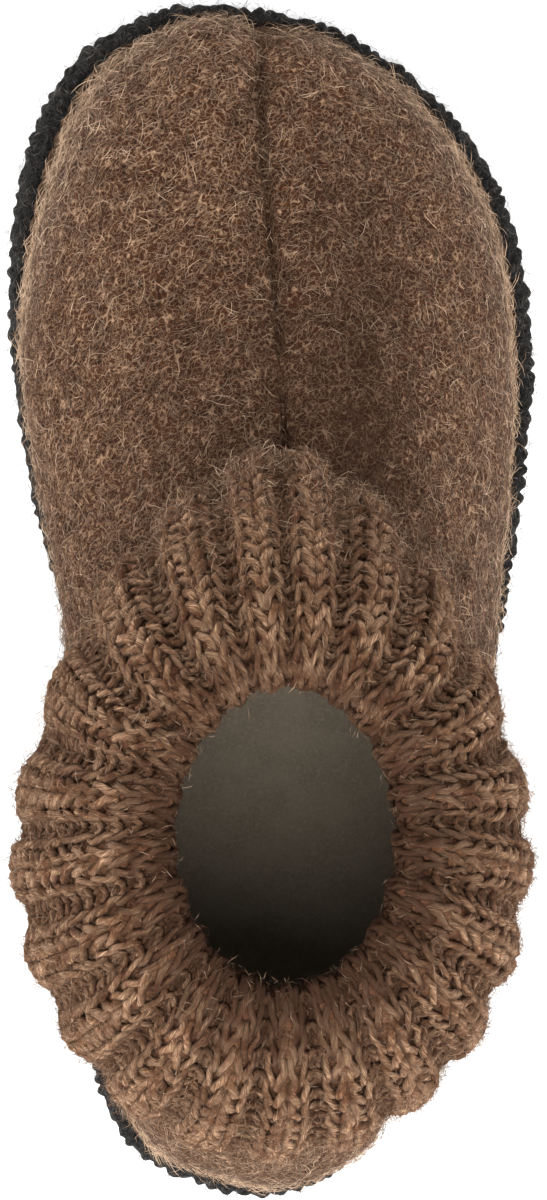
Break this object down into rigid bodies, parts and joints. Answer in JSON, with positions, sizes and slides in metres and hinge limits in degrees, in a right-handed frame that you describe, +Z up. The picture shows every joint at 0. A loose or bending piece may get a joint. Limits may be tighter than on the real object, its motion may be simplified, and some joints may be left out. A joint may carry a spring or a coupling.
{
  "type": "house slipper",
  "caption": "Ankle-high felted wool house slipper for the right foot, with a toe seam, a folded rib-knit cuff, a black felt rim band and a thin rubber sole.",
  "frame": {"origin": "on the floor, under the middle of the bounding box", "axes": "+Y towards the toe, +X towards the outer side of the foot, +Z up"},
  "size_m": [0.1186, 0.266, 0.1226],
  "materials": {
    "rubber_black": "matte",
    "felt_black": "fuzzy felt",
    "felt_brown": "fuzzy felt",
    "felt_grey": "felt",
    "knit_brown": "woolly rib knit"
  },
  "bodies": {
    "root": {"outsole": "rubber_black", "rim_band": "felt_black", "upper": "felt_brown", "insole": "felt_grey", "cuff": "knit_brown"}
  },
  "joints": []
}
